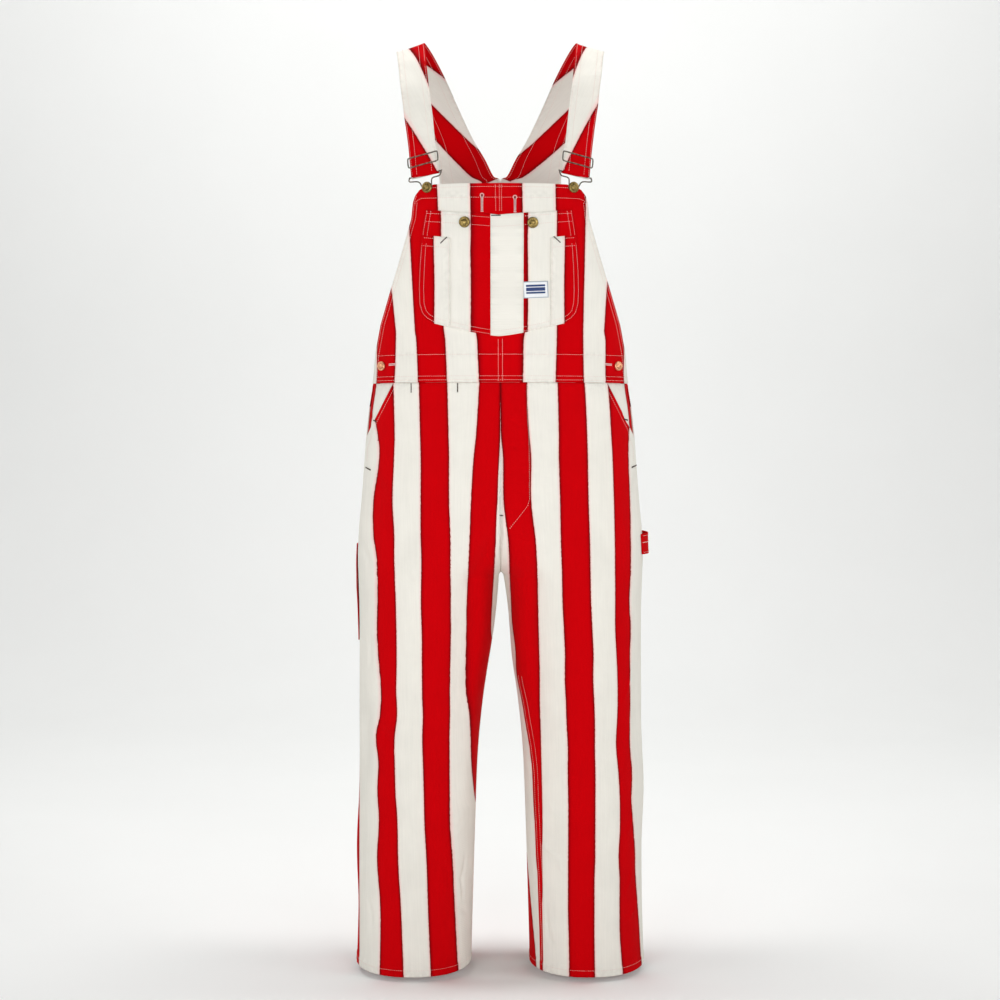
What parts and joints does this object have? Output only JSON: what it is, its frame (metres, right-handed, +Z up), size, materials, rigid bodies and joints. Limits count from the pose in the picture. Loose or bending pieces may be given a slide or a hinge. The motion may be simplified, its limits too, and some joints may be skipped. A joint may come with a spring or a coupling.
{
  "type": "dungarees",
  "caption": "Striped bib dungarees with a front bib and pocket, shoulder straps on wire buckles, straight legs and a hammer loop, filled out as if worn.",
  "frame": {"origin": "where the shoulders hold the garment: the point midway between the two straps' tops, level with the undersides of the straps", "axes": "+Z up, the front faces -Y, +X to the wearer's left"},
  "size_m": [0.456, 0.2684, 1.4245],
  "materials": {
    "striped_drill": "cotton drill in red and off-white stripes 46 mm wide",
    "label_tape": "woven label tape",
    "aged_brass": "aged brass",
    "copper": "copper plate",
    "aged_wire": "aged steel wire"
  },
  "bodies": {
    "root": {"back_left": "striped_drill", "back_right": "striped_drill", "bib_left": "striped_drill", "bib_right": "striped_drill", "leg_front_left": "striped_drill", "leg_front_right": "striped_drill", "strap_left": "striped_drill", "strap_right": "striped_drill", "hip_facing_left": "striped_drill", "hip_facing_right": "striped_drill", "bib_pocket": "striped_drill", "pencil_strip": "striped_drill", "side_strip_left": "striped_drill", "side_strip_right": "striped_drill", "tool_pocket": "striped_drill", "hammer_loop": "striped_drill", "label": "label_tape", "bib_button_left": "aged_brass", "bib_button_right": "aged_brass", "pocket_button_left": "aged_brass", "pocket_button_right": "aged_brass", "side_button_left": "copper", "side_button_right": "copper", "buckle_slide_left": "aged_wire", "buckle_slide_right": "aged_wire", "buckle_hook_left": "aged_wire", "buckle_hook_right": "aged_wire"}
  },
  "joints": []
}
